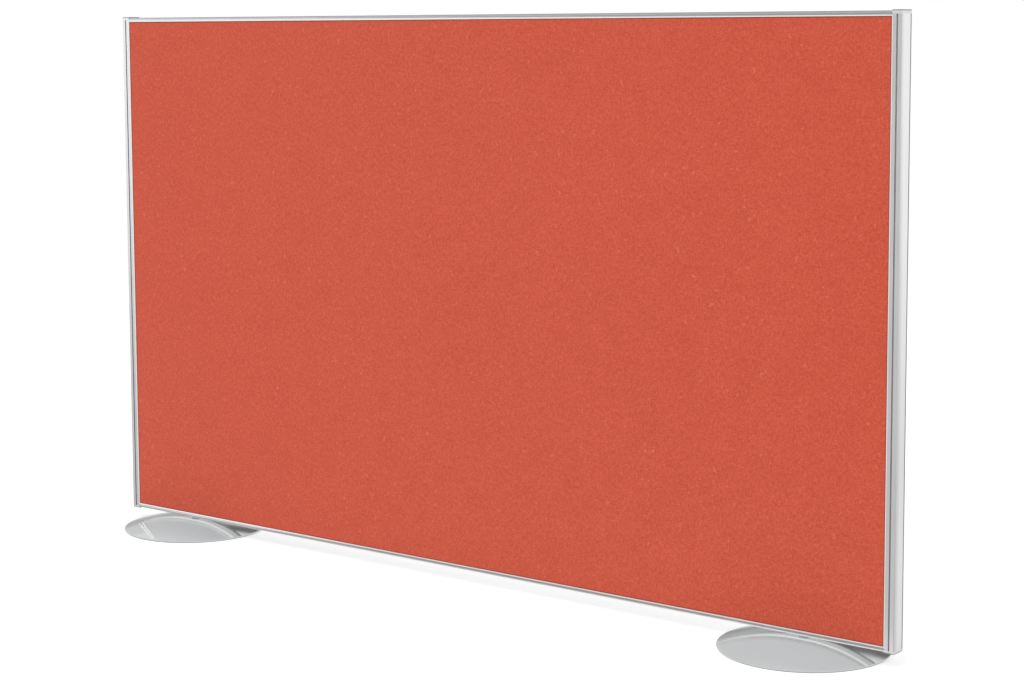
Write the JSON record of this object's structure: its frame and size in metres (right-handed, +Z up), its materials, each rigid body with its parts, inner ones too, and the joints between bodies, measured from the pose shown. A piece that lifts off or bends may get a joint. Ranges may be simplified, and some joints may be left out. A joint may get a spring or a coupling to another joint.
{
  "type": "office floor screen",
  "caption": "Free-standing office floor screen: fabric-covered panel in a thin aluminium frame with link grooves, on round domed disc feet.",
  "frame": {"origin": "on the floor, under the middle of the panel", "axes": "+X along the panel to the right as seen from the front, the front face looks along -Y, +Z up"},
  "size_m": [1.8, 0.29, 1.0496],
  "materials": {
    "coral_fabric": "woven wool-like upholstery, matt",
    "pin_board": "raw wood-fibre board",
    "honeycomb": "raw card honeycomb",
    "batten_wood": "sawn softwood",
    "anodised_aluminium": "satin anodised",
    "cap_plastic": "moulded, silver grey",
    "zinc_steel": "bright zinc plated",
    "foot_silver": "glossy silver",
    "foot_rubber": "matt"
  },
  "bodies": {
    "screen": {"front_fabric": "coral_fabric", "rear_fabric": "coral_fabric", "front_board": "pin_board", "rear_board": "pin_board", "honeycomb_core": "honeycomb", "top_batten": "batten_wood", "bottom_batten": "batten_wood", "left_batten": "batten_wood", "right_batten": "batten_wood", "left_stile": "anodised_aluminium", "right_stile": "anodised_aluminium", "top_rail": "anodised_aluminium", "bottom_rail": "anodised_aluminium", "top_left_cap": "cap_plastic", "top_right_cap": "cap_plastic", "bottom_left_cap": "cap_plastic", "bottom_right_cap": "cap_plastic", "top_left_bracket": "zinc_steel", "top_right_bracket": "zinc_steel", "bottom_left_bracket": "zinc_steel", "bottom_right_bracket": "zinc_steel", "bracket_stile_screws": "zinc_steel", "bracket_rail_screws": "zinc_steel", "left_foot_plate": "zinc_steel", "right_foot_plate": "zinc_steel", "foot_plate_screws": "zinc_steel"},
    "left_foot": {"left_foot_cover": "foot_silver", "left_foot_ballast": "zinc_steel", "left_foot_bosses": "zinc_steel", "left_foot_boss_screws": "zinc_steel", "left_foot_pad": "foot_rubber", "left_foot_stud": "zinc_steel", "left_foot_nut": "zinc_steel", "left_foot_spacer": "zinc_steel", "left_foot_collar": "zinc_steel"},
    "right_foot": {"right_foot_cover": "foot_silver", "right_foot_ballast": "zinc_steel", "right_foot_bosses": "zinc_steel", "right_foot_boss_screws": "zinc_steel", "right_foot_pad": "foot_rubber", "right_foot_stud": "zinc_steel", "right_foot_nut": "zinc_steel", "right_foot_spacer": "zinc_steel", "right_foot_collar": "zinc_steel"}
  },
  "joints": [
    {"name": "left_foot_turn", "type": "hinge", "parent": "screen", "child": "left_foot", "pos_m": [-0.725, 0, 0.0202], "axis": [0, 0, 1], "continuous": true},
    {"name": "right_foot_turn", "type": "hinge", "parent": "screen", "child": "right_foot", "pos_m": [0.725, 0, 0.0202], "axis": [0, 0, 1], "continuous": true}
  ]
}
